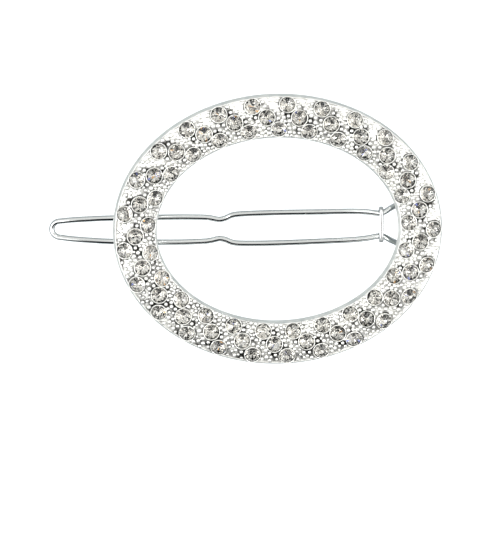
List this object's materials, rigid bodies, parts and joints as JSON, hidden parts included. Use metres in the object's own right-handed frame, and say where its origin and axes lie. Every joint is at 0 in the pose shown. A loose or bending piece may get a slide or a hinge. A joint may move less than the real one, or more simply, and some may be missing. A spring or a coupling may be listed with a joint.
{
  "type": "rhinestone hair clip",
  "caption": "Oval hair clip: a cast open frame paved with slanting rows of round faceted stones, with a hinged spring-wire tongue that snaps into a catch behind.",
  "frame": {"origin": "middle of the clip's length and width, at the lowest level it rests on when it lies on its back", "axes": "+X along the tongue from its closed tip towards the hinge, +Y across the clip, +Z from the back towards the stone-set face"},
  "size_m": [0.0551, 0.0382, 0.0071],
  "materials": {
    "silver_plate": "bright silver-coloured plating on a casting, with granulated ribs and darker crevices",
    "plated_sheet": "bright plating on stamped sheet",
    "spring_wire": "bright plated spring wire",
    "foiled_crystal": "clear faceted glass with a mirror foil behind"
  },
  "bodies": {
    "clip": {"ring_frame": "silver_plate", "hinge_bracket": "plated_sheet", "catch_bracket": "plated_sheet", "stone_row_01": "foiled_crystal", "stone_row_02": "foiled_crystal", "stone_row_03": "foiled_crystal", "stone_row_04": "foiled_crystal", "stone_row_05": "foiled_crystal", "stone_row_06": "foiled_crystal", "stone_row_07": "foiled_crystal", "stone_row_08": "foiled_crystal", "stone_row_09": "foiled_crystal", "stone_row_10": "foiled_crystal", "stone_row_11": "foiled_crystal", "stone_row_12": "foiled_crystal", "stone_row_13": "foiled_crystal", "stone_row_14": "foiled_crystal", "stone_row_15": "foiled_crystal", "stone_row_16": "foiled_crystal", "stone_row_17": "foiled_crystal", "stone_row_18": "foiled_crystal", "stone_row_19": "foiled_crystal", "stone_row_20": "foiled_crystal", "stone_row_21": "foiled_crystal", "stone_row_22": "foiled_crystal", "stone_row_23": "foiled_crystal", "stone_row_24": "foiled_crystal", "stone_row_25": "foiled_crystal"},
    "tongue": {"wire_tongue": "spring_wire", "cross_band": "spring_wire"}
  },
  "joints": [
    {"name": "tongue_hinge", "type": "hinge", "parent": "clip", "child": "tongue", "pos_m": [0.02389, 0, 0.0011], "axis": [0, -1, 0], "range_deg": [0, 130]}
  ]
}
